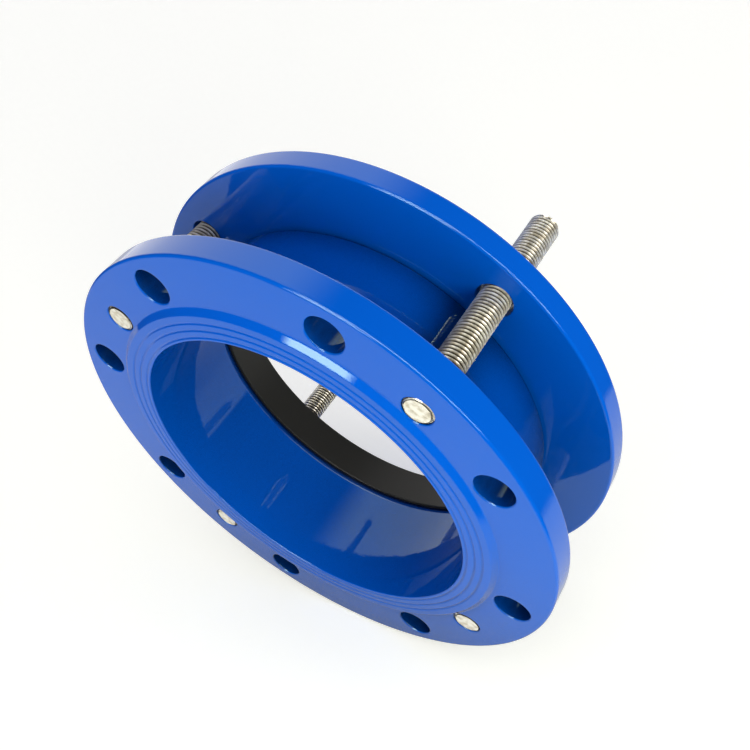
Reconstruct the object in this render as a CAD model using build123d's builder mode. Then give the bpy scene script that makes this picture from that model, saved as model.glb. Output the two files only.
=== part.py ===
"""Flanged dismantling joint for a nominal 200 mm water pipe.

A cast body with a drilled flange and a short barrel holds a rubber ring in a tapered seat at the barrel's
far end. A loose gland flange rides on four long studs that are screwed into the body's flange, and it
squeezes the ring on to the pipe when nuts are run down the studs. The nuts aren't fitted.

Millimetres. The pipe axis is +Y, from the sealing face at y = 0 towards the gland, and +Z is up, as the
joint sits in a level pipe run with its bolt holes straddling the vertical.
"""

import math
import os

from build123d import *

# Waterway and barrel of the body, with the tapered seat for the ring
waterway_diameter = 224.0
barrel_wall = 12.3
barrel_end = 85.6
neck = 6.0  # radius of the fillet behind the flange, drawn as two bevels
seat_length = 8.8
seat_flare = 6.6

# Sealing face, which stands proud of the drilled flange
face_width = 21.0
face_height = 3.0
face_slope = 3.4  # width of the slope between the drilled flange and the sealing face
flange_thickness = 19.0

# Water lines: shallow turned grooves in the sealing face
water_line_count = 3
water_line_pitch = 4.9
water_line_inset = 2.5  # from the waterway to the middle of the first groove
water_line_width = 1.8
water_line_depth = 0.6

# Drilling of the flange
bolt_hole_count = 8
bolt_hole_diameter = 23.0
bolt_hole_offset = 14.5  # from the sealing face's rim to the bolt circle
flange_margin = 20.0  # from the bolt circle to the flange's rim

# Studs, midway between bolt holes and a little nearer the waterway
stud_count = 4
stud_diameter = 18.0
stud_inset = 4.75  # from the bolt circle to the stud circle
stud_overhang = 52.2  # beyond the gland
stud_chamfer = 1.6
tapped_hole_clearance = 0.1  # on the radius

# Gland flange
gland_gap = 1.2  # between the barrel's end and the gland before the nuts are tightened
gland_rim_inset = 1.0  # behind the flange's rim
gland_lip_thickness = 3.1
gland_hole_clearance = 2.0  # round each stud, on the radius

# Rubber ring
ring_length = 22.1
ring_stand_in = 0.5  # inside the waterway
ring_corner_bevel = 0.5
ring_sleeve_wall = 2.6  # of the thin sleeve that lines the gland's bore
ring_sleeve_length = 2.2
ring_seat_clearance = 0.25
ring_gland_clearance = 0.3

# Edges
rim_bevel = 1.2
edge_bevel = 0.9
match = 1e-4  # how closely two lengths agree when corners and edges are picked

# Radii and heights that follow
waterway_radius = waterway_diameter / 2
barrel_radius = waterway_radius + barrel_wall
neck_belly = neck * (1 - math.sqrt(0.5))
seat_mouth_radius = waterway_radius + seat_flare
seat_start = barrel_end - seat_length
face_radius = waterway_radius + face_width
bolt_circle_radius = face_radius + bolt_hole_offset
bolt_hole_radius = bolt_hole_diameter / 2
flange_radius = bolt_circle_radius + flange_margin
flange_back = face_height + flange_thickness
stud_radius = stud_diameter / 2
stud_circle_radius = bolt_circle_radius - stud_inset
tapped_radius = stud_radius + tapped_hole_clearance
ring_start = seat_start + 2 * ring_seat_clearance
ring_end = ring_start + ring_length
ring_bore_radius = waterway_radius - ring_stand_in
ring_outer_radius = seat_mouth_radius - ring_seat_clearance
pocket_radius = ring_outer_radius + ring_gland_clearance
pocket_floor = ring_end + ring_gland_clearance
gland_face = barrel_end + gland_gap
gland_back = pocket_floor + gland_lip_thickness
gland_radius = flange_radius - gland_rim_inset
ring_sleeve_radius = ring_bore_radius + ring_sleeve_wall
ring_sleeve_end = ring_end + ring_sleeve_length
gland_bore_radius = ring_sleeve_radius + ring_gland_clearance
gland_hole_radius = stud_radius + gland_hole_clearance
stud_length = gland_back + stud_overhang - face_height
bolt_spacing = 360.0 / bolt_hole_count


def drilling(height: float) -> Plane:
    """The plane across the axis at that height, seen from the sealing face: local x is X, local y is Z."""
    return Plane(origin=(0, height, 0), x_dir=(1, 0, 0), z_dir=(0, -1, 0))


def corners(sketch: BuildSketch, radius: float, *heights: float) -> list:
    """The sketch's corners at one radius, or only those of them at the heights given."""
    found = [v for v in sketch.vertices() if abs(v.X - radius) < match]
    return [v for v in found if not heights or any(abs(v.Y - h) < match for h in heights)]


os.makedirs("parts", exist_ok=True)

# Body: flange, sealing face, barrel and ring seat are one casting, turned from one section
with BuildPart() as flanged_body:
    with BuildSketch(Plane.XY) as body_section:
        with BuildLine():
            Polyline(
                (waterway_radius, 0),
                (face_radius - face_slope, 0),
                (face_radius, face_height),
                (flange_radius, face_height),
                (flange_radius, flange_back),
                (barrel_radius + neck, flange_back),
                (barrel_radius + neck_belly, flange_back + neck_belly),
                (barrel_radius, flange_back + neck),
                (barrel_radius, barrel_end),
                (seat_mouth_radius, barrel_end),
                (waterway_radius, seat_start),
                close=True,
            )
        make_face()
        chamfer(corners(body_section, flange_radius), rim_bevel)
        chamfer(corners(body_section, face_radius - face_slope), edge_bevel)
        chamfer(corners(body_section, barrel_radius, barrel_end), edge_bevel)
    revolve(axis=Axis.Y)

    # Water lines, each a shallow V
    with BuildSketch(Plane.XY):
        for line in range(water_line_count):
            middle = waterway_radius + water_line_inset + line * water_line_pitch
            with BuildLine():
                Polyline(
                    (middle - water_line_width / 2, 0),
                    (middle, water_line_depth),
                    (middle + water_line_width / 2, 0),
                    close=True,
                )
            make_face()
    revolve(axis=Axis.Y, mode=Mode.SUBTRACT)

    # Bolt holes, and tapped holes for the studs
    with BuildSketch(drilling(0)):
        with PolarLocations(bolt_circle_radius, bolt_hole_count, start_angle=bolt_spacing / 2):
            Circle(bolt_hole_radius)
        with PolarLocations(stud_circle_radius, stud_count, start_angle=bolt_spacing):
            Circle(tapped_radius)
    extrude(amount=-flange_back, mode=Mode.SUBTRACT)

# Gland: a loose flange with a pocket that takes the ring's outer half
with BuildPart() as gland_flange:
    with BuildSketch(Plane.XY) as gland_section:
        with BuildLine():
            Polyline(
                (pocket_radius, gland_face),
                (gland_radius, gland_face),
                (gland_radius, gland_back),
                (gland_bore_radius, gland_back),
                (gland_bore_radius, pocket_floor),
                (pocket_radius, pocket_floor),
                close=True,
            )
        make_face()
        chamfer(corners(gland_section, gland_radius), rim_bevel)
        chamfer(corners(gland_section, gland_bore_radius, gland_back), edge_bevel)
    revolve(axis=Axis.Y)
    with BuildSketch(drilling(gland_face)):
        with PolarLocations(stud_circle_radius, stud_count, start_angle=bolt_spacing):
            Circle(gland_hole_radius)
    extrude(amount=gland_face - gland_back, mode=Mode.SUBTRACT)

# Rubber ring: a nose in the body's taper, a square heel in the gland's pocket and a sleeve in the gland's bore
with BuildPart() as sealing_ring:
    with BuildSketch(Plane.XY) as ring_section:
        with BuildLine():
            Polyline(
                (ring_bore_radius, ring_start),
                (ring_outer_radius, barrel_end),
                (ring_outer_radius, ring_end),
                (ring_sleeve_radius, ring_end),
                (ring_sleeve_radius, ring_sleeve_end),
                (ring_bore_radius, ring_sleeve_end),
                close=True,
            )
        make_face()
        chamfer(corners(ring_section, ring_bore_radius, ring_sleeve_end), ring_corner_bevel)
    revolve(axis=Axis.Y)

# Studs, numbered round the circle, flush with the flange at the sealing side
studs = []
for spot in PolarLocations(stud_circle_radius, stud_count, start_angle=bolt_spacing).locations:
    with BuildPart(drilling(face_height) * spot) as stud:
        Cylinder(stud_radius, stud_length, align=(Align.CENTER, Align.CENTER, Align.MAX))
        chamfer(stud.edges().filter_by(GeomType.CIRCLE), stud_chamfer)
    studs.append(stud.part)

pieces = {
    "flanged_body": flanged_body.part,
    "gland_flange": gland_flange.part,
    "sealing_ring": sealing_ring.part,
}
for number, piece in enumerate(studs, start=1):
    pieces[f"stud_{number}"] = piece
for name, piece in pieces.items():
    piece.label = name
    export_step(piece, f"parts/{name}.step")
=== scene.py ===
"""Looks of the flanged dismantling joint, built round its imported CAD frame.

The castings, the rubber ring and the threaded studs are drawn here as finer meshes that stand for the CAD
nodes. Every length is in millimetres until a mesh is finished, and the pipe axis is local +Z until then.
"""

import logging
import math
from dataclasses import dataclass
from enum import Enum
from functools import partial
from typing import Iterable, Sequence

import bmesh
import bpy
from mathutils import Matrix, Vector


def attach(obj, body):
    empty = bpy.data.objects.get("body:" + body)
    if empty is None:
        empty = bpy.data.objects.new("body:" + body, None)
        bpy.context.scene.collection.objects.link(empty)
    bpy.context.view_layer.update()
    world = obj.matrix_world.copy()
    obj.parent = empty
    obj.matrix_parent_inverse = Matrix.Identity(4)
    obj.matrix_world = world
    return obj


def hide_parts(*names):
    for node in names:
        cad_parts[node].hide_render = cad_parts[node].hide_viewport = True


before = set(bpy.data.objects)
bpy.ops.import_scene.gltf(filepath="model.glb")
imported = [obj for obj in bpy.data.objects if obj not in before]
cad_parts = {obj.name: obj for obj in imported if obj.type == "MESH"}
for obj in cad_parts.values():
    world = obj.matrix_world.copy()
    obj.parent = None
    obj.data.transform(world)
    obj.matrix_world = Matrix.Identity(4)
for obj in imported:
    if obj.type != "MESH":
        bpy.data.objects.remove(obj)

LOG = logging.getLogger("dismantling_joint")
MM = 0.001

Tree = bpy.types.NodeTree
Node = bpy.types.Node
Socket = bpy.types.NodeSocket
Point = tuple[float, float]
Triple = tuple[float, float, float]
Color = tuple[float, float, float, float]

TO_ROW = Matrix.Scale(MM, 4) @ Matrix.Rotation(math.radians(-90), 4, "X")
WELD = 1e-4  # millimetres between points of a turned mesh that count as one

STUD_COUNT = 4
STUD_CIRCLE = 142.75  # radius of the circle that the studs are on
FIRST_STUD = 45.0  # where the first one is, in degrees

GROOVE = "groove"  # the threads' attribute, from 0 on the crest to 1 at the root
THREAD_CORNERS = ((0.0, 0.0), (0.14, 0.0), (0.43, 1.0), (0.71, 1.0))  # share of the pitch, share of the depth
LEAD_IN = 2.0  # turns of thread before the bar begins
SPARE_TURNS = 3.0  # turns beyond the bar's length, at both ends together


class Body(Enum):
    """The CAD bodies that pieces ride on."""

    FIXED = "body"
    GLAND = "gland"


class Slot(Enum):
    """The record's material slots."""

    CASTING = "casting_paint"
    GLAND = "gland_paint"
    RUBBER = "seal_rubber"
    STEEL = "stud_steel"


# ---------------------------------------------------------------- node helpers


def wire(tree: Tree, made: Node, inputs: dict[str | int, object]) -> None:
    """Gives each of a node's named inputs a plain value, or joins it to an output socket."""
    for label, value in inputs.items():
        if isinstance(value, Socket):
            tree.links.new(value, made.inputs[label])
        else:
            made.inputs[label].default_value = value


def node(tree: Tree, kind: str, inputs: dict[str | int, object] | None = None, **settings) -> Node:
    """Adds a node.

    Args:
        tree: Where it goes.
        kind: The node's type name.
        inputs: The plain value or the output socket for each input, by its name or its place.
        **settings: Properties to set on it.

    Returns:
        The new node.
    """
    made = tree.nodes.new(kind)
    for name, value in settings.items():
        setattr(made, name, value)
    wire(tree, made, inputs or {})
    return made


def math_node(tree: Tree, operation: str, *values: Socket | float) -> Socket:
    """Adds a Math node, and returns its output socket.

    Args:
        tree: Where it goes.
        operation: The Math node's operation.
        *values: Its inputs, as sockets or plain numbers.

    Returns:
        The node's output socket.
    """
    return node(tree, "ShaderNodeMath", dict(enumerate(values)), operation=operation).outputs[0]


def dot(tree: Tree, direction: Socket, along: Sequence[float]) -> Socket:
    """Puts out how far a direction points along a fixed one."""
    return node(tree, "ShaderNodeVectorMath", {0: direction, 1: along}, operation="DOT_PRODUCT").outputs["Value"]


def remap(
    tree: Tree,
    value: Socket,
    limits: tuple[float, float],
    results: tuple[float, float] = (0.0, 1.0),
    smooth: bool = False,
) -> Socket:
    """Stretches a value between two limits to two results, and holds it there beyond them.

    Args:
        tree: Where the node goes.
        value: The socket with the value.
        limits: The values that give the two results.
        results: The two results.
        smooth: Whether the change eases in and out.

    Returns:
        The socket with the result.
    """
    inputs = dict(zip(("Value", "From Min", "From Max", "To Min", "To Max"), (value, *limits, *results)))
    kind = "SMOOTHSTEP" if smooth else "LINEAR"
    return node(tree, "ShaderNodeMapRange", inputs, interpolation_type=kind).outputs["Result"]


def mix_shaders(tree: Tree, share: Socket, first: Socket, second: Socket) -> Socket:
    """Mixes two shaders, with a socket that gives the share of the second."""
    return node(tree, "ShaderNodeMixShader", {0: share, 1: first, 2: second}).outputs["Shader"]


def new_group(
    name: str, inputs: Iterable[tuple[str, str, float | None]], outputs: Iterable[tuple[str, str]]
) -> tuple[Tree, Node, Node]:
    """Starts a shader node group.

    Args:
        name: The group's name.
        inputs: Name, socket type and default of each input.
        outputs: Name and socket type of each output.

    Returns:
        The group tree, its input node and its output node.
    """
    tree = bpy.data.node_groups.new(name, "ShaderNodeTree")
    for label, kind, default in inputs:
        socket = tree.interface.new_socket(label, in_out="INPUT", socket_type=kind)
        if default is not None:
            socket.default_value = default
    for label, kind in outputs:
        tree.interface.new_socket(label, in_out="OUTPUT", socket_type=kind)
    return tree, node(tree, "NodeGroupInput"), node(tree, "NodeGroupOutput")


def coated_surface_group() -> Tree:
    """The lumpy skin of a thick sprayed coat: orange peel, slow sags and a few trapped bubbles.

    Returns:
        A group with inputs Vector, Peel, Sag and Bubbles, that puts out Height in metres.
    """
    tree, start, end = new_group(
        "Coated surface",
        [
            ("Vector", "NodeSocketVector", None),
            ("Peel", "NodeSocketFloat", 0.00002),
            ("Sag", "NodeSocketFloat", 0.0001),
            ("Bubbles", "NodeSocketFloat", 0.0),
        ],
        [("Height", "NodeSocketFloat")],
    )
    place = start.outputs["Vector"]
    peel = node(tree, "ShaderNodeTexNoise", {"Vector": place, "Scale": 420.0, "Detail": 1.0})
    sag = node(tree, "ShaderNodeTexNoise", {"Vector": place, "Scale": 38.0, "Detail": 1.5})
    dots = node(tree, "ShaderNodeTexVoronoi", {"Vector": place, "Scale": 95.0, "Randomness": 1.0}, feature="F1")
    bubble_radius = 0.16  # as a share of the distance between bubbles
    bump = math_node(tree, "SUBTRACT", bubble_radius, dots.outputs["Distance"])
    bump = math_node(tree, "MAXIMUM", bump, 0.0)
    total = math_node(tree, "MULTIPLY", peel.outputs["Fac"], start.outputs["Peel"])
    total = math_node(tree, "MULTIPLY_ADD", sag.outputs["Fac"], start.outputs["Sag"], total)
    total = math_node(tree, "MULTIPLY_ADD", bump, start.outputs["Bubbles"], total)
    wire(tree, end, {"Height": total})
    return tree


def stains_group() -> Tree:
    """The uneven stains of bare steel that has been handled and stored.

    Returns:
        A group with input Vector, the local position, that puts out Mask, from 0 where it is stained to 1.
    """
    tree, start, end = new_group("Stains", [("Vector", "NodeSocketVector", None)], [("Mask", "NodeSocketFloat")])
    place = start.outputs["Vector"]
    noise = node(tree, "ShaderNodeTexNoise", {"Vector": place, "Scale": 260.0, "Detail": 4.0})
    wire(tree, end, {"Mask": remap(tree, noise.outputs["Fac"], (0.3, 0.65), smooth=True)})
    return tree


# ---------------------------------------------------------------- finishes


def principled(name: str) -> tuple[bpy.types.Material, Tree, Node]:
    """Makes a material, and returns it with its tree and its Principled node."""
    material = bpy.data.materials.new(name)
    material.use_nodes = True
    tree = material.node_tree
    return material, tree, tree.nodes["Principled BSDF"]


def bump_from(tree: Tree, height: Socket, under: Socket | None = None) -> Socket:
    """Adds a Bump node for a height in metres, on top of another normal if there is one."""
    bump = node(tree, "ShaderNodeBump", {"Distance": 1.0, "Height": height})
    if under is not None:
        wire(tree, bump, {"Normal": under})
    return bump.outputs["Normal"]


def coat_height(tree: Tree, surface: Tree, peel: float, sag: float, bubbles: float = 0.0) -> Socket:
    """Adds the coated surface to a material, in the piece's own coordinates.

    Args:
        tree: The material's tree.
        surface: The coated surface group.
        peel: Height of the orange peel, in metres.
        sag: Height of the sags, in metres.
        bubbles: Height of the bubbles, in metres.

    Returns:
        The Height output.
    """
    place = node(tree, "ShaderNodeTexCoord").outputs["Object"]
    heights = {"Vector": place, "Peel": peel, "Sag": sag, "Bubbles": bubbles}
    return node(tree, "ShaderNodeGroup", heights, node_tree=surface).outputs["Height"]


def openness(tree: Tree, reach: float) -> Socket:
    """Puts out how open each point is, from 0 to 1, to surfaces within a reach in metres."""
    return node(tree, "ShaderNodeAmbientOcclusion", {"Distance": reach}, samples=8).outputs["AO"]


def mixed_color(tree: Tree, share: Socket, first: Color | Socket, second: Color | Socket) -> Socket:
    """A mix of two colours.

    Args:
        tree: The material's tree.
        share: The socket that gives the second colour's share.
        first: The first colour, or its socket.
        second: The second colour, or its socket.

    Returns:
        The mixed colour's socket.
    """
    mix = node(tree, "ShaderNodeMix", data_type="RGBA")
    places = [0] + [place for place, socket in enumerate(mix.inputs) if socket.type == "RGBA"]
    wire(tree, mix, dict(zip(places, (share, first, second))))
    return next(socket for socket in mix.outputs if socket.type == "RGBA")


@dataclass(frozen=True)
class Paint:
    """A glossy epoxy coat that softens the edges it covers, with painted shade that darkens its colour in hollows
    and between parts, and painted shade that takes its reflections out of narrow slits.

    Attributes:
        name: The material's name.
        color: The coat's colour.
        mirror_tint: The tint of what it mirrors.
        roughness: Its roughness.
        ior: Its index of refraction.
        shine: Its specular level in the open.
        painted_shade_floor: The share of the colour that remains where the painted shade is deepest, in the most
            sheltered places.
        painted_shade_reach: How far away a surface still darkens a point's colour with painted shade, in metres.
        painted_shade_limits: The openness with the deepest painted shade, and with none.
        slit_shade_reach: The same reach for slits, where painted shade takes out the reflections.
        slit_shade_limits: The openness at which a slit's reflections are all painted out as shade, and where it
            mirrors fully.
        edge_radius: How far the coat rounds an edge, in metres.
        peel: Height of the orange peel, in metres.
        sag: Height of the sags, in metres.
        bubbles: Height of the bubbles, in metres.
    """

    name: str
    color: Color = (0.0002, 0.107, 0.66, 1.0)
    mirror_tint: Color = (0.7, 1.0, 0.76, 1.0)
    roughness: float = 0.035
    ior: float = 1.52
    shine: float = 0.5
    painted_shade_floor: float = 1.0
    painted_shade_reach: float = 0.3
    painted_shade_limits: tuple[float, float] = (0.36, 0.78)
    slit_shade_reach: float = 0.006
    slit_shade_limits: tuple[float, float] = (0.15, 0.5)
    edge_radius: float = 0.0009
    peel: float = 0.000012
    sag: float = 0.00016
    bubbles: float = 0.0001

    def material(self, surface: Tree) -> bpy.types.Material:
        """Builds the material.

        Args:
            surface: The coated surface group.

        Returns:
            The material.
        """
        material, tree, shader = principled(self.name)
        # Painted shade: the coat's colour is darkened by ambient occlusion in hollows and between parts.
        painted_shade_share = remap(tree, openness(tree, self.painted_shade_reach), self.painted_shade_limits, (self.painted_shade_floor, 1.0))
        coat = node(tree, "ShaderNodeVectorMath", {0: self.color[:3], "Scale": painted_shade_share}, operation="SCALE")
        # Painted shade on the gloss: the reflections fade out in narrow slits such as the holes, by ambient
        # occlusion.
        shine = remap(tree, openness(tree, self.slit_shade_reach), self.slit_shade_limits, (0.0, self.shine))
        edges = node(tree, "ShaderNodeBevel", {"Radius": self.edge_radius}, samples=6)
        height = coat_height(tree, surface, self.peel, self.sag, self.bubbles)
        inputs = {
            "Base Color": coat.outputs["Vector"],
            "Roughness": self.roughness,
            "IOR": self.ior,
            "Specular IOR Level": shine,
            "Specular Tint": self.mirror_tint,
            "Normal": bump_from(tree, height, edges.outputs["Normal"]),
        }
        wire(tree, shader, inputs)
        return material


@dataclass(frozen=True)
class Rubber:
    """Smooth moulded rubber."""

    name: str
    color: Color = (0.02, 0.0195, 0.019, 1.0)
    roughness: float = 0.4
    shine: float = 0.25
    peel: float = 0.00002
    sag: float = 0.0001

    def material(self, surface: Tree) -> bpy.types.Material:
        """Builds the material.

        Args:
            surface: The coated surface group, for the moulding's slight waves.

        Returns:
            The material.
        """
        material, tree, shader = principled(self.name)
        inputs = {
            "Base Color": self.color,
            "Roughness": self.roughness,
            "Specular IOR Level": self.shine,
            "Normal": bump_from(tree, coat_height(tree, surface, self.peel, self.sag)),
        }
        wire(tree, shader, inputs)
        return material


@dataclass(frozen=True)
class Steel:
    """Warm grey stainless bar with a rolled thread.

    Attributes:
        name: The material's name.
        color: The clean metal's colour.
        dull_color: The stained metal's colour.
        groove_shade_color: The colour at the thread's root, a near-black painted shade.
        groove_shade_limits: How deep in the thread that painted shade begins, and is full.
        metallic: How far it is metal and not a dull film.
        roughness: Its roughness.
    """

    name: str
    color: Color = (1.0, 0.97, 0.9, 1.0)
    dull_color: Color = (0.58, 0.52, 0.42, 1.0)
    groove_shade_color: Color = (0.085, 0.07, 0.048, 1.0)
    groove_shade_limits: tuple[float, float] = (0.15, 0.75)
    metallic: float = 0.56
    roughness: float = 0.2

    def material(self, stains: Tree) -> bpy.types.Material:
        """Builds the material.

        Args:
            stains: The stains group.

        Returns:
            The material.
        """
        material, tree, shader = principled(self.name)
        place = node(tree, "ShaderNodeTexCoord").outputs["Object"]
        worn = node(tree, "ShaderNodeGroup", {"Vector": place}, node_tree=stains)
        bare = mixed_color(tree, worn.outputs["Mask"], self.dull_color, self.color)
        # Painted shade: the thread's root is coloured near black, more so the deeper it is.
        groove = node(tree, "ShaderNodeAttribute", attribute_name=GROOVE)
        root = remap(tree, groove.outputs["Fac"], self.groove_shade_limits)
        color = mixed_color(tree, root, bare, self.groove_shade_color)
        wire(tree, shader, {"Base Color": color, "Metallic": self.metallic, "Roughness": self.roughness})
        return material


# ---------------------------------------------------------------- turned shapes


def rounded(corners: Sequence[Triple], steps: int = 6, guard: float = 0.15) -> list[Point]:
    """Rounds a closed section's corners, with a guard point beside each so that flats stay flat when shaded.

    Args:
        corners: Radius, height and rounding radius of each corner, in order.
        steps: Facets in each rounded corner.
        guard: Distance of the guard points from a corner.

    Returns:
        The section's points.
    """
    points: list[Point] = []
    count = len(corners)
    side_share, guard_share = 0.49, 0.98  # most of a side that a corner takes, and of that, its rounding
    for i, (x, y, radius) in enumerate(corners):
        here = Vector((x, y))
        back = Vector(corners[i - 1][:2]) - here
        ahead = Vector(corners[(i + 1) % count][:2]) - here
        a, b = back.normalized(), ahead.normalized()
        half = a.angle(b) / 2
        reach = radius / math.tan(half) if radius > 0 else 0.0
        near = min(reach + guard, back.length * side_share, ahead.length * side_share)
        reach = min(reach, near * guard_share)
        points.append(tuple(here + a * near))
        if radius > 0:
            first, last = here + a * reach, here + b * reach
            middle = here + (a + b).normalized() * (reach / math.cos(half))
            sweep = math.pi - 2 * half
            start = first - middle
            turn = 1.0 if start.x * (last - middle).y - start.y * (last - middle).x > 0 else -1.0
            for k in range(steps + 1):
                angle = turn * sweep * k / steps
                points.append(tuple(middle + Matrix.Rotation(angle, 2) @ start))
        else:
            points.append((x, y))
        points.append(tuple(here + b * near))
    return points


def turn_mesh(name: str, section: Sequence[Point], segments: int) -> bpy.types.Mesh:
    """Revolves a closed section about local Z.

    Args:
        name: The mesh's name.
        section: Radius and height of each point.
        segments: Facets round the axis.

    Returns:
        A closed mesh with outward normals.
    """
    mesh = bpy.data.meshes.new(name)
    shape = bmesh.new()
    rings = []
    for k in range(segments):
        angle = 2 * math.pi * k / segments
        c, s = math.cos(angle), math.sin(angle)
        rings.append([shape.verts.new((r * c, r * s, h)) for r, h in section])
    for k in range(segments):
        here, after = rings[k], rings[(k + 1) % segments]
        for i in range(len(section)):
            j = (i + 1) % len(section)
            shape.faces.new((here[i], here[j], after[j], after[i]))
    bmesh.ops.remove_doubles(shape, verts=shape.verts, dist=WELD)
    bmesh.ops.recalc_face_normals(shape, faces=shape.faces)
    shape.to_mesh(mesh)
    shape.free()
    return mesh


def shade(mesh: bpy.types.Mesh, sharp_angle: float) -> None:
    """Smooths a mesh except across edges sharper than an angle in degrees."""
    mesh.shade_smooth()
    mesh.set_sharp_from_angle(angle=math.radians(sharp_angle))


def show(name: str, mesh: bpy.types.Mesh) -> bpy.types.Object:
    """Puts a mesh in the scene as an object at the origin."""
    made = bpy.data.objects.new(name, mesh)
    bpy.context.scene.collection.objects.link(made)
    return made


def baked(name: str, source: bpy.types.Object) -> bpy.types.Object:
    """Turns an object with modifiers into a plain mesh object, and removes the first one.

    Args:
        name: The new object's name.
        source: The object to evaluate.

    Returns:
        The plain object.
    """
    graph = bpy.context.evaluated_depsgraph_get()
    mesh = bpy.data.meshes.new_from_object(source.evaluated_get(graph), depsgraph=graph)
    bpy.data.objects.remove(source)
    mesh.name = name
    return show(name, mesh)


def to_row(mesh: bpy.types.Mesh, local: Matrix = Matrix.Identity(4)) -> None:
    """Moves a finished mesh from millimetres about local Z to the row frame.

    Args:
        mesh: The mesh.
        local: Where the piece goes in the local frame.
    """
    mesh.transform(TO_ROW @ local)
    shape = bmesh.new()
    shape.from_mesh(mesh)
    bmesh.ops.recalc_face_normals(shape, faces=shape.faces)
    shape.to_mesh(mesh)
    shape.free()


def set_inputs(modifier: bpy.types.Modifier, values: dict) -> None:
    """Sets a Geometry Nodes modifier's inputs by their names."""
    for item in modifier.node_group.interface.items_tree:
        if item.item_type == "SOCKET" and item.in_out == "INPUT" and item.name in values:
            modifier[item.identifier] = values[item.name]


# ---------------------------------------------------------------- Geometry Nodes


def geometry_tree(name: str, inputs: Iterable[tuple[str, str, float | None]]) -> tuple[Tree, Node, Node]:
    """Starts a Geometry Nodes tree with a geometry input and output.

    Args:
        name: The tree's name.
        inputs: Name, socket type and default of each further input.

    Returns:
        The tree, its input node and its output node.
    """
    tree = bpy.data.node_groups.new(name, "GeometryNodeTree")
    tree.interface.new_socket("Geometry", in_out="INPUT", socket_type="NodeSocketGeometry")
    for label, kind, default in inputs:
        socket = tree.interface.new_socket(label, in_out="INPUT", socket_type=kind)
        if default is not None:
            socket.default_value = default
    tree.interface.new_socket("Geometry", in_out="OUTPUT", socket_type="NodeSocketGeometry")
    return tree, node(tree, "NodeGroupInput"), node(tree, "NodeGroupOutput")


def finish_tree(tree: Tree, geometry: Socket, material: Socket, end: Node) -> None:
    """Ends a tree with Realize Instances and Set Material.

    Args:
        tree: The tree.
        geometry: The geometry socket to finish.
        material: The socket that gives the material.
        end: The group's output node.
    """
    real = node(tree, "GeometryNodeRealizeInstances", {"Geometry": geometry})
    paint = node(tree, "GeometryNodeSetMaterial", {"Geometry": real.outputs["Geometry"], "Material": material})
    wire(tree, end, {"Geometry": paint.outputs["Geometry"]})


def drilling_tree() -> Tree:
    """A ring of holes: copies of a cutter on a pitch circle are taken out of the piece.

    Returns:
        The tree.
    """
    tree, start, end = geometry_tree(
        "Drilling",
        [
            ("Cutter", "NodeSocketObject", None),
            ("Pitch Radius", "NodeSocketFloat", 147.5),
            ("Count", "NodeSocketInt", 8),
            ("First Angle", "NodeSocketFloat", 0.0),
            ("Material", "NodeSocketMaterial", None),
        ],
    )
    given = start.outputs
    sizes = {"Vertices": given["Count"], "Radius": given["Pitch Radius"]}
    circle = node(tree, "GeometryNodeMeshCircle", sizes, fill_type="NONE").outputs["Mesh"]
    turn = node(tree, "ShaderNodeCombineXYZ", {"Z": given["First Angle"]}).outputs["Vector"]
    points = node(tree, "GeometryNodeTransform", {"Geometry": circle, "Rotation": turn}).outputs["Geometry"]
    cutter = node(tree, "GeometryNodeObjectInfo", {"Object": given["Cutter"]}, transform_space="ORIGINAL")
    copies = {"Points": points, "Instance": cutter.outputs["Geometry"]}
    copies = node(tree, "GeometryNodeInstanceOnPoints", copies).outputs["Instances"]
    real = node(tree, "GeometryNodeRealizeInstances", {"Geometry": copies}).outputs["Geometry"]
    solids = {"Mesh 1": given["Geometry"], "Mesh 2": real}
    cut = node(tree, "GeometryNodeMeshBoolean", operation="DIFFERENCE", solver="EXACT")
    wire(tree, cut, solids)
    finish_tree(tree, cut.outputs["Mesh"], given["Material"], end)
    return tree


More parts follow.
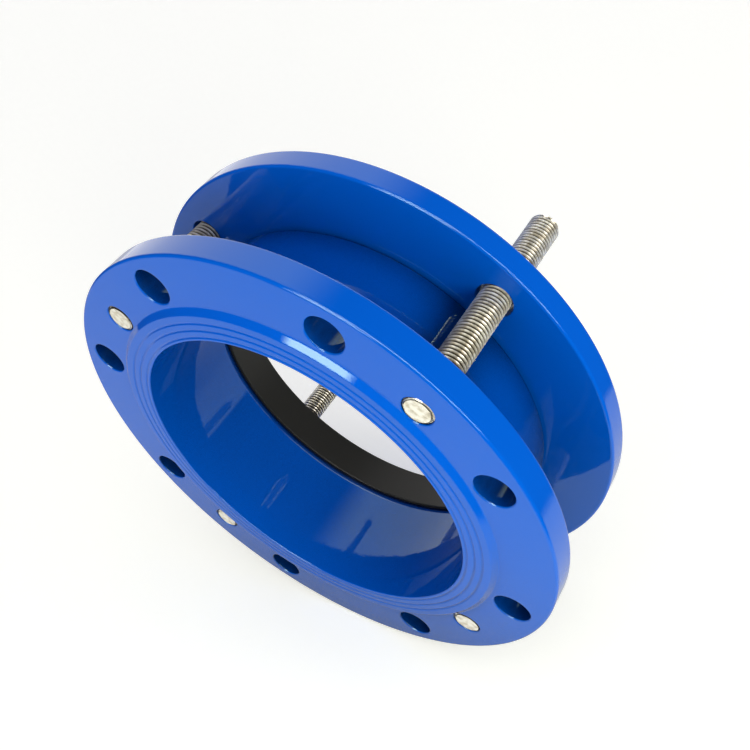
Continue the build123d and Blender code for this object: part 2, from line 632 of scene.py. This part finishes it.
def thread_tree() -> Tree:
    """A threaded bar: a sheet whose rows follow the helix is wrapped round the axis and cut off at both ends.

    Each turn has four rows, for the crest's two edges and the root's two edges. A row that runs past an end
    falls on the rim of that end's flat, so the chamfer cuts the thread as a turned one does. The thread runs
    out in its last turn, and its depth at each point is kept as an attribute.

    Returns:
        The tree.
    """
    tree, start, end = geometry_tree(
        "Thread",
        [
            ("Radius", "NodeSocketFloat", 9.0),
            ("Depth", "NodeSocketFloat", 1.4),
            ("Pitch", "NodeSocketFloat", 2.5),
            ("Length", "NodeSocketFloat", 152.0),
            ("Start Chamfer", "NodeSocketFloat", 1.0),
            ("End Chamfer", "NodeSocketFloat", 2.0),
            ("Lead Angle", "NodeSocketFloat", 0.0),
            ("Around", "NodeSocketInt", 64),
            ("Material", "NodeSocketMaterial", None),
        ],
    )
    calc = partial(math_node, tree)
    given = start.outputs
    per_turn = float(len(THREAD_CORNERS))
    turns = calc("CEIL", calc("ADD", calc("DIVIDE", given["Length"], given["Pitch"]), SPARE_TURNS))
    rows = calc("MULTIPLY_ADD", turns, per_turn, 1.0)
    columns = calc("ADD", given["Around"], 1.0)
    sheet = node(tree, "GeometryNodeMeshGrid", {"Vertices X": columns, "Vertices Y": rows}).outputs["Mesh"]
    position = node(tree, "GeometryNodeInputPosition").outputs["Position"]
    split = node(tree, "ShaderNodeSeparateXYZ", {"Vector": position})
    share = calc("ADD", split.outputs["X"], 0.5)
    angle = calc("MULTIPLY", share, 2 * math.pi)
    row = calc("MULTIPLY", calc("ADD", split.outputs["Y"], 0.5), calc("SUBTRACT", rows, 1.0))
    row = calc("ROUND", row)
    just_past = calc("ADD", row, 0.01)  # so that a whole turn isn't rounded down
    turn = calc("FLOOR", calc("DIVIDE", just_past, per_turn))
    corner = calc("SUBTRACT", row, calc("MULTIPLY", turn, per_turn))
    phase = node(tree, "GeometryNodeIndexSwitch", data_type="FLOAT")
    depth = node(tree, "GeometryNodeIndexSwitch", data_type="FLOAT")
    for switch, values in zip((phase, depth), zip(*THREAD_CORNERS)):
        while len(switch.index_switch_items) < len(values):
            switch.index_switch_items.new()
        wire(tree, switch, dict(enumerate((corner, *values))))
    lead = calc("DIVIDE", given["Lead Angle"], 2 * math.pi)
    along = calc("ADD", calc("ADD", turn, phase.outputs[0]), calc("ADD", share, lead))
    along = calc("MULTIPLY", calc("SUBTRACT", along, LEAD_IN), given["Pitch"])
    height = node(tree, "ShaderNodeClamp", {"Value": along, "Max": given["Length"]}).outputs["Result"]
    rest = calc("SUBTRACT", given["Length"], height)
    runout = node(tree, "ShaderNodeClamp", {"Value": calc("DIVIDE", rest, given["Pitch"])}).outputs["Result"]
    cut = calc("MULTIPLY", depth.outputs[0], runout)
    radius = calc("SUBTRACT", given["Radius"], calc("MULTIPLY", cut, given["Depth"]))
    flats = []
    for label, level, gap in (("Start Chamfer", 0.0, height), ("End Chamfer", given["Length"], rest)):
        tip = calc("SUBTRACT", given["Radius"], given[label])
        radius = calc("MINIMUM", radius, calc("ADD", tip, gap))
        flats.append((level, tip))
    across = [calc("MULTIPLY", radius, calc(wave, angle)) for wave in ("COSINE", "SINE")]
    spot = node(tree, "ShaderNodeCombineXYZ", {"X": across[0], "Y": across[1], "Z": height}).outputs["Vector"]
    marked = node(tree, "GeometryNodeStoreNamedAttribute", data_type="FLOAT", domain="POINT")
    wire(tree, marked, {"Geometry": sheet, "Name": GROOVE, "Value": cut})
    wrap = {"Geometry": marked.outputs["Geometry"], "Position": spot}
    joined = node(tree, "GeometryNodeJoinGeometry")
    wire(tree, joined, {"Geometry": node(tree, "GeometryNodeSetPosition", wrap).outputs["Geometry"]})
    for level, tip in flats:
        rim = {"Vertices": given["Around"], "Radius": tip}
        flat = node(tree, "GeometryNodeMeshCircle", rim, fill_type="NGON").outputs["Mesh"]
        lift = node(tree, "ShaderNodeCombineXYZ", {"Z": level}).outputs["Vector"]
        move = node(tree, "GeometryNodeTransform", {"Geometry": flat, "Translation": lift})
        wire(tree, joined, {"Geometry": move.outputs["Geometry"]})
    bar = {"Geometry": joined.outputs["Geometry"], "Distance": 0.001}
    weld = node(tree, "GeometryNodeMergeByDistance", bar)
    finish_tree(tree, weld.outputs["Geometry"], given["Material"], end)
    return tree


# ---------------------------------------------------------------- pieces


@dataclass(frozen=True)
class Drilling:
    """A ring of equal holes right through a flange.

    Attributes:
        pitch_radius: Radius of the circle that the holes are on.
        hole_radius: Radius of each hole.
        count: How many holes.
        first_angle: Where the first one is, in degrees.
        low: Height of the flange's lower face.
        high: Height of the flange's upper face.
        sink_low: Countersink at the lower face.
        sink_high: Countersink at the upper face.
        segments: Facets round each hole.
    """

    pitch_radius: float
    hole_radius: float
    count: int
    first_angle: float
    low: float
    high: float
    sink_low: float = 0.6
    sink_high: float = 0.6
    segments: int = 72

    def cutter(self) -> bpy.types.Object:
        """Returns the shape of one hole, as an object that isn't shown."""
        r, over = self.hole_radius, 1.0  # the cutter passes both faces by this much
        section = [
            (0.0, self.low - over),
            (r + self.sink_low + over, self.low - over),
            (r, self.low + self.sink_low),
            (r, self.high - self.sink_high),
            (r + self.sink_high + over, self.high + over),
            (0.0, self.high + over),
        ]
        made = show("cutter", turn_mesh("cutter", section, self.segments))
        made.hide_render = True
        return made

    def cut(self, piece: bpy.types.Object, tree: Tree, material: bpy.types.Material) -> bpy.types.Object:
        """Takes the holes out of a piece.

        Args:
            piece: The piece, in the local frame.
            tree: The drilling tree.
            material: The piece's material.

        Returns:
            The drilled piece.
        """
        cutter = self.cutter()
        modifier = piece.modifiers.new("holes", "NODES")
        modifier.node_group = tree
        set_inputs(
            modifier,
            {
                "Cutter": cutter,
                "Pitch Radius": self.pitch_radius,
                "Count": self.count,
                "First Angle": math.radians(self.first_angle),
                "Material": material,
            },
        )
        drilled = baked(piece.name + "_drilled", piece)
        bpy.data.objects.remove(cutter)
        return drilled


@dataclass
class TurnedPiece:
    """A piece made by revolving a section and drilling rings of holes in it."""

    name: str
    nodes: tuple[str, ...]
    body: Body
    slot: Slot
    material: bpy.types.Material
    segments: int = 288
    sharp_angle: float = 32.0

    def section(self) -> list[Point]:
        """Returns the section's points."""
        raise NotImplementedError

    def drillings(self) -> list[Drilling]:
        """Returns the piece's rings of holes."""
        return []

    def build(self, tree: Tree) -> bpy.types.Object:
        """Builds the piece in the row frame.

        Args:
            tree: The drilling tree.

        Returns:
            The object.
        """
        piece = show(self.name, turn_mesh(self.name, self.section(), self.segments))
        for drilling in self.drillings():
            piece = drilling.cut(piece, tree, self.material)
        piece.name = self.name
        to_row(piece.data)
        shade(piece.data, self.sharp_angle)
        piece.data.materials.clear()
        piece.data.materials.append(self.material)
        return mounted(piece, self.nodes, self.body)


def mounted(piece: bpy.types.Object, nodes: Sequence[str], body: Body) -> bpy.types.Object:
    """Hides the CAD nodes that a finished piece stands for, and hangs it on the empty of the body it rides on.

    Args:
        piece: The piece.
        nodes: The CAD nodes it stands for.
        body: The body it rides on.

    Returns:
        The same piece.
    """
    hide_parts(*nodes)
    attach(piece, body.value)
    return piece


@dataclass
class FlangedBody(TurnedPiece):
    """The casting: drilled flange, grooved sealing face, barrel and tapered seat."""

    flange_radius: float = 166.9
    flange_back: float = 21.2
    raised_radius: float = 133.0
    raised_height: float = 3.0
    slope: float = 3.4
    bore_radius: float = 112.0
    barrel_radius: float = 124.3
    barrel_end: float = 85.6
    seat_start: float = 72.0
    seat_mouth: float = 118.6
    groove_middles: Triple = (114.5, 119.4, 124.3)
    groove_width: float = 1.8
    groove_depth: float = 0.6
    bolt_circle: float = 147.5
    bolt_hole_radius: float = 11.5
    bolt_hole_count: int = 8
    first_bolt_hole: float = 22.5
    tapped_hole_radius: float = 9.1
    face_round: float = 1.2
    groove_round: float = 0.3
    slope_top_round: float = 1.0
    slope_foot_round: float = 1.4
    rim_round: float = 1.6
    neck: float = 6.0
    seat_round: float = 0.4

    def section(self) -> list[Point]:
        """Returns the section's points."""
        corners = [(self.bore_radius, 0.0, self.face_round)]
        half, small = self.groove_width / 2, self.groove_round
        for middle in self.groove_middles:
            corners += [(middle - half, 0.0, small), (middle, self.groove_depth, small), (middle + half, 0.0, small)]
        corners += [
            (self.raised_radius - self.slope, 0.0, self.slope_top_round),
            (self.raised_radius, self.raised_height, self.slope_foot_round),
            (self.flange_radius, self.raised_height, self.rim_round),
            (self.flange_radius, self.flange_back, self.rim_round),
            (self.barrel_radius, self.flange_back, self.neck),
            (self.barrel_radius, self.barrel_end, self.face_round),
            (self.seat_mouth, self.barrel_end, self.seat_round),
            (self.bore_radius, self.seat_start, self.seat_round),
        ]
        return rounded(corners)

    def drillings(self) -> list[Drilling]:
        """Returns the bolt holes and the tapped holes."""
        faces = {"low": self.raised_height, "high": self.flange_back}
        return [
            Drilling(
                self.bolt_circle,
                self.bolt_hole_radius,
                self.bolt_hole_count,
                self.first_bolt_hole,
                **faces,
                sink_high=0.3,
            ),
            Drilling(STUD_CIRCLE, self.tapped_hole_radius, STUD_COUNT, FIRST_STUD, **faces, sink_high=0.2),
        ]


@dataclass
class GlandFlange(TurnedPiece):
    """The loose flange that squeezes the ring."""

    outer_radius: float = 165.9
    face: float = 86.8
    back: float = 102.8
    bore_radius: float = 114.4
    pocket_radius: float = 118.65
    pocket_floor: float = 99.7
    stud_hole_radius: float = 11.0
    rim_round: float = 1.6
    bore_round: float = 1.2
    pocket_round: float = 0.4
    sink: float = 0.3

    def section(self) -> list[Point]:
        """Returns the section's points."""
        return rounded(
            [
                (self.pocket_radius, self.face, self.pocket_round),
                (self.outer_radius, self.face, self.rim_round),
                (self.outer_radius, self.back, self.rim_round),
                (self.bore_radius, self.back, self.bore_round),
                (self.bore_radius, self.pocket_floor, self.pocket_round),
                (self.pocket_radius, self.pocket_floor, self.pocket_round),
            ]
        )

    def drillings(self) -> list[Drilling]:
        """Returns the stud holes."""
        hole, sink = self.stud_hole_radius, self.sink
        return [Drilling(STUD_CIRCLE, hole, STUD_COUNT, FIRST_STUD, self.face, self.back, sink, sink)]


@dataclass
class SealingRing(TurnedPiece):
    """The rubber ring: nose in the body's taper, heel in the gland's pocket.

    The last number of each corner is its rounding, as moulded.
    """

    bore_radius: float = 111.5
    outer_radius: float = 118.35
    nose: float = 77.3
    nose_radius: float = 114.3
    taper_end: float = 85.6
    heel: float = 99.4
    sleeve_radius: float = 114.1
    sleeve_end: float = 102.6

    def section(self) -> list[Point]:
        """Returns the section's points."""
        return rounded(
            [
                (self.bore_radius, self.nose, 0.6),
                (self.nose_radius, self.nose, 0.4),
                (self.outer_radius, self.taper_end, 0.5),
                (self.outer_radius, self.heel, 0.6),
                (self.sleeve_radius, self.heel, 0.3),
                (self.sleeve_radius, self.sleeve_end, 0.5),
                (self.bore_radius, self.sleeve_end, 0.7),
            ],
            guard=0.05,
        )


@dataclass
class Studs:
    """The four threaded studs."""

    material: bpy.types.Material
    start: float = 3.0
    length: float = 152.0
    radius: float = 9.0
    pitch: float = 2.5
    depth: float = 1.5
    start_chamfer: float = 1.0
    end_chamfer: float = 2.0
    lead_step: float = 1.7  # radians by which each thread starts further round than the last
    sharp_angle: float = 25.0

    def build(self, tree: Tree) -> list[bpy.types.Object]:
        """Builds the studs in the row frame.

        Args:
            tree: The thread tree.

        Returns:
            One object per stud.
        """
        return [self.build_one(tree, number) for number in range(1, STUD_COUNT + 1)]

    def build_one(self, tree: Tree, number: int) -> bpy.types.Object:
        """Builds one stud, with its thread starting at an angle of its own.

        Args:
            tree: The thread tree.
            number: The stud's number, from 1.

        Returns:
            The object.
        """
        name = f"threaded_stud_{number}"
        blank = show(name, bpy.data.meshes.new(name))
        modifier = blank.modifiers.new("thread", "NODES")
        modifier.node_group = tree
        set_inputs(
            modifier,
            {
                "Radius": self.radius,
                "Depth": self.depth,
                "Pitch": self.pitch,
                "Length": self.length,
                "Start Chamfer": self.start_chamfer,
                "End Chamfer": self.end_chamfer,
                "Lead Angle": self.lead_step * number,
                "Material": self.material,
            },
        )
        stud = baked(name + "_bar", blank)
        stud.name = name
        angle = -(FIRST_STUD + (number - 1) * 360.0 / STUD_COUNT)
        out = Matrix.Rotation(math.radians(angle), 4, "Z")
        to_row(stud.data, out @ Matrix.Translation((STUD_CIRCLE, 0.0, self.start)))
        shade(stud.data, self.sharp_angle)
        return mounted(stud, [f"stud_{number}"], Body.FIXED)


# ---------------------------------------------------------------- studio


@dataclass(frozen=True)
class SoftBox:
    """A soft lamp that points at the object.

    Attributes:
        name: The lamp's name.
        place: Where it stands, in metres.
        size: Its width and height, in metres.
        power: Its power, in watts.
        color: Its colour.
    """

    name: str
    place: Triple
    size: tuple[float, float]
    power: float
    color: Triple = (1.0, 1.0, 1.0)

    def build(self, target: Vector, shines_on: Sequence[bpy.types.Object] = ()) -> bpy.types.Object:
        """Builds the lamp.

        Args:
            target: The point it is turned to.
            shines_on: The only pieces it lights, in which it is mirrored too. Without any, it lights everything.

        Returns:
            The lamp.
        """
        lamp = bpy.data.lights.new(self.name, "AREA")
        lamp.shape = "RECTANGLE"
        lamp.size, lamp.size_y = self.size
        lamp.energy = self.power
        lamp.color = self.color
        made = bpy.data.objects.new(self.name, lamp)
        made.location = self.place
        made.rotation_euler = (target - Vector(self.place)).to_track_quat("-Z", "Y").to_euler()
        bpy.context.scene.collection.objects.link(made)
        made.visible_glossy = bool(shines_on)
        if shines_on:
            receivers = bpy.data.collections.new(self.name + "_receivers")
            for piece in shines_on:
                receivers.objects.link(piece)
            made.light_linking.receiver_collection = receivers
        return made


@dataclass(frozen=True)
class Limit:
    """A soft limit on the directions that a bright panel covers.

    Attributes:
        direction: The direction that is measured along.
        low: Where the panel begins.
        high: Where it is at its full strength.
    """

    direction: Triple
    low: float
    high: float


@dataclass(frozen=True)
class Panel:
    """A bright part of the surroundings, as glossy surfaces mirror it.

    Attributes:
        strength: Its strength, where 1 is white.
        limits: What bounds it.
    """

    strength: float
    limits: tuple[Limit, ...]

    def light(self, tree: Tree, direction: Socket) -> Socket:
        """Adds the nodes that give the panel's light.

        Args:
            tree: The world's tree.
            direction: The socket with the direction looked in.

        Returns:
            The socket with the panel's strength in that direction.
        """
        total = self.strength
        for limit in self.limits:
            along = dot(tree, direction, Vector(limit.direction).normalized())
            inside = remap(tree, along, (limit.low, limit.high), smooth=True)
            total = math_node(tree, "MULTIPLY", inside, total)
        return total


@dataclass
class Studio:
    """White floor, white surroundings, soft lamps and the camera.

    Attributes:
        floor_height: The floor's height, in metres.
        floor_size: The length of its sides.
        floor_color: Its colour.
        floor_lift: The light it gives off to the camera alone, so that it stays white beside its shadows.
        floor_roughness: Its roughness.
        floor_shine: Its specular level.
        ambient: The surroundings' plain light.
        seen: The surroundings' colour where the camera sees them.
        lean: The direction that the plain light comes from a little more.
        dim_room: The room's light, as glossy surfaces mirror it.
        panel_color: The colour of the room and its panels.
        panels: The bright parts of the room.
        sheet_center: The middle of the white sheet that glossy surfaces see as the floor.
        sheet_radius: The sheet's radius.
        sheet_edge: Half the width of its soft edge.
        sheet_mirrored: How much of the floor is lost to glossy surfaces beyond the sheet.
        target: Where the lamps point.
        lens: The camera's focal length, in millimetres.
        sensor: The width of its sensor, in millimetres.
        camera_shift: The lens's shift.
        camera_place: Where the camera stands.
        camera_right: The direction to the right in its view.
        camera_up: The direction upwards in its view.
        key: The main lamp.
        glint: The lamp that only the bare metal sees.
    """

    floor_height: float = -0.1675
    floor_size: float = 6.0
    floor_color: Color = (0.93, 0.93, 0.91, 1.0)
    floor_lift: float = 0.32
    floor_roughness: float = 0.9
    floor_shine: float = 0.1
    ambient: float = 0.86
    seen: Color = (0.985, 0.985, 0.98, 1.0)
    lean: Triple = (0.38, -0.35, 0.0)
    dim_room: float = 0.03
    panel_color: Color = (1.0, 0.98, 0.93, 1.0)
    panels: tuple[Panel, ...] = (
        Panel(1.35, (Limit((-1.0, 0.0, 0.0), -0.1, 0.3), Limit((0.0, 1.0, 0.0), 0.2, 0.42))),
        Panel(14.0, (Limit((-0.08, -0.88, 0.45), 0.965, 0.985),)),
        Panel(
            12.0,
            (
                Limit((0.0, -1.0, 0.0), 0.16, 0.22),
                Limit((0.0, 1.0, 0.0), -0.48, -0.42),
                Limit((1.0, 0.0, 0.0), -0.2, 0.0),
                Limit((0.0, 0.0, 1.0), 0.1, 0.3),
            ),
        ),
        Panel(1.2, (Limit((0.0, 1.0, 0.0), 0.8, 0.95), Limit((0.0, 0.0, 1.0), -0.1, 0.1))),
    )
    sheet_center: Point = (-0.3, 0.2)
    sheet_radius: float = 0.72
    sheet_edge: float = 0.04
    sheet_mirrored: float = 0.96
    target: Triple = (0.0, 0.07, 0.0)
    lens: float = 40.68
    sensor: float = 36.0
    camera_shift: tuple[float, float] = (0.0004, 0.0005)
    camera_place: Triple = (0.2727, -0.2107, 0.3939)
    camera_right: Triple = (0.8399, 0.5083, -0.1901)
    camera_up: Triple = (-0.2498, 0.6730, 0.6961)
    key: SoftBox = SoftBox("key", (0.8, -0.62, 0.38), (0.4, 0.4), 5.2, (1.0, 1.0, 0.72))
    glint: SoftBox = SoftBox("glint", (0.77, 0.73, 0.47), (0.42, 0.42), 2.9, (1.0, 0.96, 0.88))

    def build(self, bright: Sequence[bpy.types.Object]) -> None:
        """Builds the studio.

        Args:
            bright: The bare metal pieces, which have a lamp of their own.
        """
        self.floor()
        self.world()
        self.key.build(Vector(self.target))
        self.glint.build(Vector(self.target), bright)
        self.camera()
        bpy.context.scene.view_settings.view_transform = "Standard"

    def floor(self) -> None:
        """Builds the floor."""
        half = self.floor_size / 2
        mesh = bpy.data.meshes.new("floor")
        corners = [(-half, -half), (half, -half), (half, half), (-half, half)]
        mesh.from_pydata([(x, y, self.floor_height) for x, y in corners], [], [(0, 1, 2, 3)])
        floor = show("floor", mesh)
        material, tree, shader = principled("floor")
        path = node(tree, "ShaderNodeLightPath").outputs
        inputs = {
            "Base Color": self.floor_color,
            "Roughness": self.floor_roughness,
            "Specular IOR Level": self.floor_shine,
            "Emission Color": (1.0, 1.0, 1.0, 1.0),
            "Emission Strength": math_node(tree, "MULTIPLY", path["Is Camera Ray"], self.floor_lift),
        }
        wire(tree, shader, inputs)
        place = node(tree, "ShaderNodeTexCoord").outputs["Object"]
        middle = (*self.sheet_center, self.floor_height)
        away = node(tree, "ShaderNodeVectorMath", {0: place, 1: middle}, operation="DISTANCE")
        edge = (self.sheet_radius - self.sheet_edge, self.sheet_radius + self.sheet_edge)
        beyond = remap(tree, away.outputs["Value"], edge, (1.0 - self.sheet_mirrored, 1.0), smooth=True)
        lost = math_node(tree, "MULTIPLY", path["Is Glossy Ray"], beyond)
        clear = node(tree, "ShaderNodeBsdfTransparent").outputs["BSDF"]
        mixed = mix_shaders(tree, lost, shader.outputs["BSDF"], clear)
        wire(tree, tree.nodes["Material Output"], {"Surface": mixed})
        mesh.materials.append(material)

    def world(self) -> None:
        """Builds the surroundings: plain light, a dim room with panels where mirrored, and white where seen."""
        world = bpy.data.worlds.new("surroundings")
        bpy.context.scene.world = world
        world.use_nodes = True
        tree = world.node_tree
        tree.nodes.clear()
        path = node(tree, "ShaderNodeLightPath").outputs
        seen = math_node(tree, "MAXIMUM", path["Is Camera Ray"], path["Is Transmission Ray"])
        direction = node(tree, "ShaderNodeTexCoord").outputs["Generated"]
        lit = self.dim_room
        for panel in self.panels:
            lit = math_node(tree, "ADD", panel.light(tree, direction), lit)
        plain = math_node(tree, "ADD", dot(tree, direction, self.lean), self.ambient)
        light, room, white = (
            node(tree, "ShaderNodeBackground", inputs).outputs["Background"]
            for inputs in ({"Strength": plain}, {"Strength": lit, "Color": self.panel_color}, {"Color": self.seen})
        )
        mirrored = mix_shaders(tree, path["Is Glossy Ray"], light, room)
        node(tree, "ShaderNodeOutputWorld", {"Surface": mix_shaders(tree, seen, mirrored, white)})

    def camera(self) -> None:
        """Places the camera."""
        lens = bpy.data.cameras.new("camera")
        lens.lens = self.lens
        lens.sensor_width = self.sensor
        lens.clip_start = 0.01
        lens.shift_x, lens.shift_y = self.camera_shift
        made = bpy.data.objects.new("camera", lens)
        right = Vector(self.camera_right).normalized()
        up = Vector(self.camera_up)
        up = (up - right * up.dot(right)).normalized()
        back = right.cross(up)
        turn = Matrix((right, up, back)).transposed().to_4x4()
        made.matrix_world = Matrix.Translation(self.camera_place) @ turn
        bpy.context.scene.collection.objects.link(made)
        bpy.context.scene.camera = made


def main() -> None:
    """Builds the object's pieces and the studio, and reports each piece."""
    logging.basicConfig(level=logging.INFO, format="%(message)s")
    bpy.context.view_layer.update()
    surface, stains = coated_surface_group(), stains_group()
    # Painted shade: the casting's colour drops to 13% where it is most hemmed in (bore, barrel between the flanges),
    # the gland's to 72%.
    casting = Paint("casting_paint", painted_shade_floor=0.13).material(surface)
    gland = Paint("gland_paint", painted_shade_floor=0.72).material(surface)
    rubber = Rubber("seal_rubber").material(surface)
    steel = Steel("stud_steel").material(stains)
    holes, thread = drilling_tree(), thread_tree()
    pieces = [
        FlangedBody("casting", ("flanged_body",), Body.FIXED, Slot.CASTING, casting).build(holes),
        GlandFlange("gland_ring", ("gland_flange",), Body.GLAND, Slot.GLAND, gland).build(holes),
        SealingRing("rubber_ring", ("sealing_ring",), Body.FIXED, Slot.RUBBER, rubber).build(holes),
    ]
    studs = Studs(steel).build(thread)
    pieces += studs
    for piece in pieces:
        size = ", ".join(f"{1000 * d:.1f}" for d in piece.dimensions)
        LOG.info("%s: %d faces, %s mm", piece.name, len(piece.data.polygons), size)
    Studio().build(studs)


if __name__ == "__main__":
    main()
